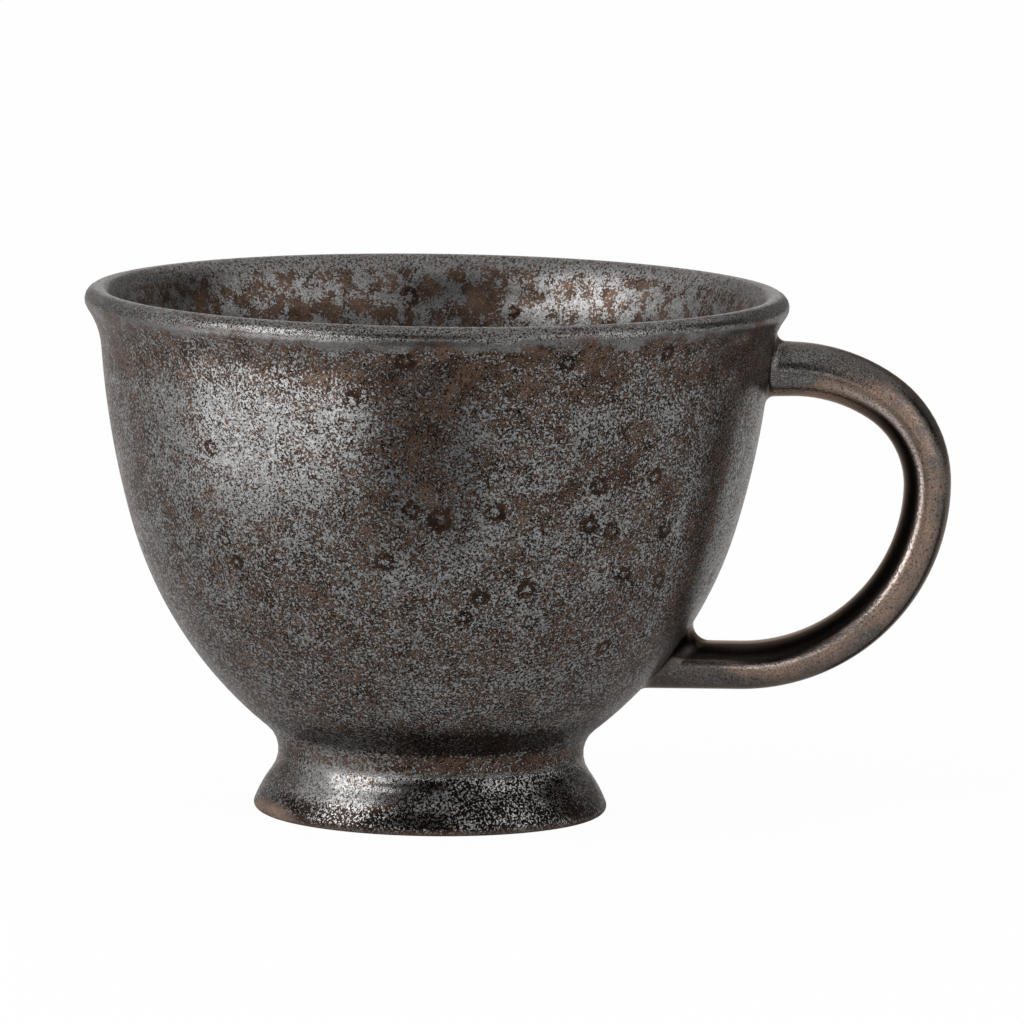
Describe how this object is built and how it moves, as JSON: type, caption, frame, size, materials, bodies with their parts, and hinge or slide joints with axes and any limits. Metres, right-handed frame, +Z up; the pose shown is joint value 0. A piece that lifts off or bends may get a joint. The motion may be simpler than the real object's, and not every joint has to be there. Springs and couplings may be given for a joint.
{
  "type": "stoneware cup",
  "caption": "Footed stoneware cup with a flared, fully rounded rim, a turned foot ring and one bowed side handle, in a mottled reactive glaze.",
  "frame": {"origin": "centre of the foot ring, on the plane that the cup stands on", "axes": "+Z up along the cup's axis, +X from the axis towards the handle"},
  "size_m": [0.1358, 0.11, 0.0821],
  "materials": {
    "glazed_stoneware": "glossy reactive glaze, brown with fine blue-grey flecks, bare clay where the foot stands"
  },
  "bodies": {
    "root": {"cup": "glazed_stoneware"}
  },
  "joints": []
}
